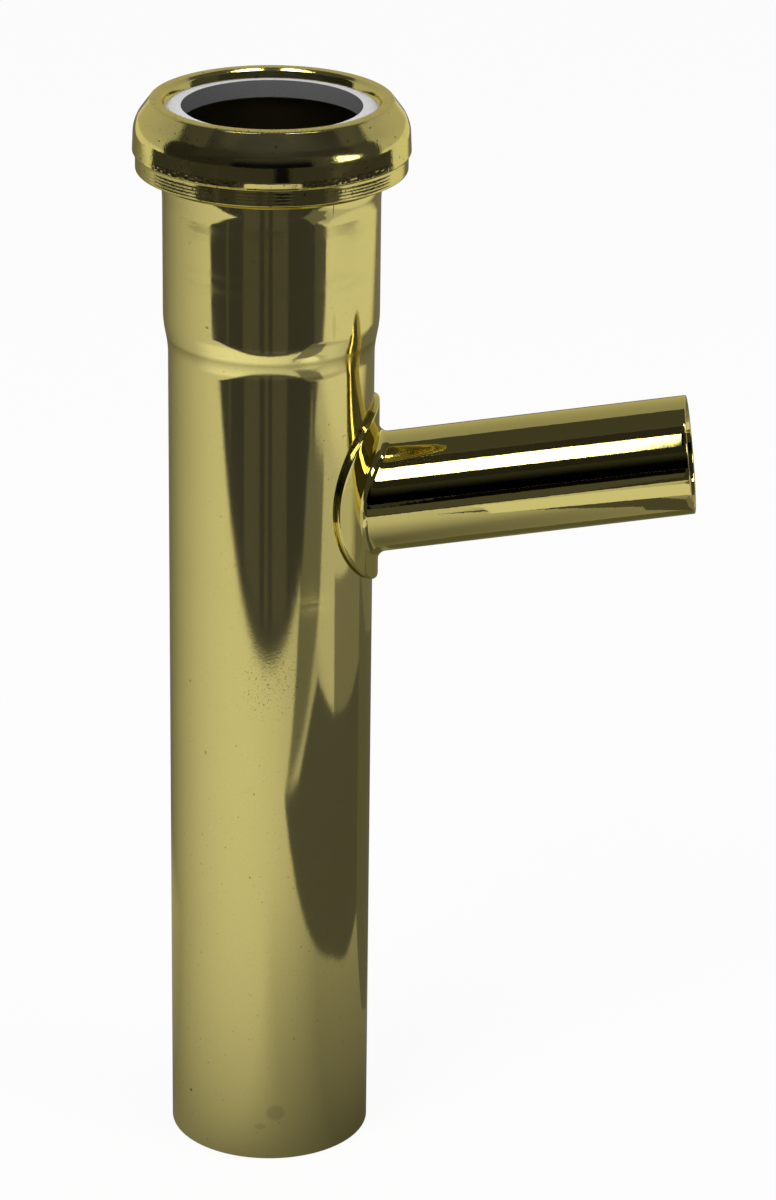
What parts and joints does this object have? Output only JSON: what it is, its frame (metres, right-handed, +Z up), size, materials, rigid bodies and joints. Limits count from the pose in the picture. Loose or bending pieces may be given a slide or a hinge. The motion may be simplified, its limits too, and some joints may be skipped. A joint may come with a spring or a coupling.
{
  "type": "slip-joint wye",
  "caption": "Brass waste tailpiece: a straight tube with a belled slip-joint inlet under a round nut and washer, and a hose branch on a saddle flange at its side.",
  "frame": {"origin": "on the waste tube's axis, at its lower end", "axes": "+Z up the tube to the slip-joint inlet, +X to the side that the branch is on"},
  "size_m": [0.1048, 0.0504, 0.2068],
  "materials": {
    "tube_brass": "polished",
    "branch_brass": "mirror polished",
    "thread_brass": "machined",
    "nut_brass": "turned and polished",
    "washer_plastic": "matte"
  },
  "bodies": {
    "wye": {"tailpiece_tube": "tube_brass", "branch_tube": "branch_brass", "threaded_ferrule": "thread_brass"},
    "washer": {"slip_washer": "washer_plastic"},
    "nut": {"slip_nut": "nut_brass"}
  },
  "joints": [
    {"name": "nut_lift", "type": "slide", "parent": "wye", "child": "washer", "axis": [0, 0, 1], "range_m": [0, 0.00774]},
    {"name": "nut_turn", "type": "hinge", "parent": "washer", "child": "nut", "pos_m": [0, 0, 0.2], "axis": [0, 0, 1], "range_deg": [0, 1260]}
  ],
  "couplings": [
    {"joint": "nut_lift", "follows": "nut_turn", "m_per_rad": 0.00035152}
  ]
}
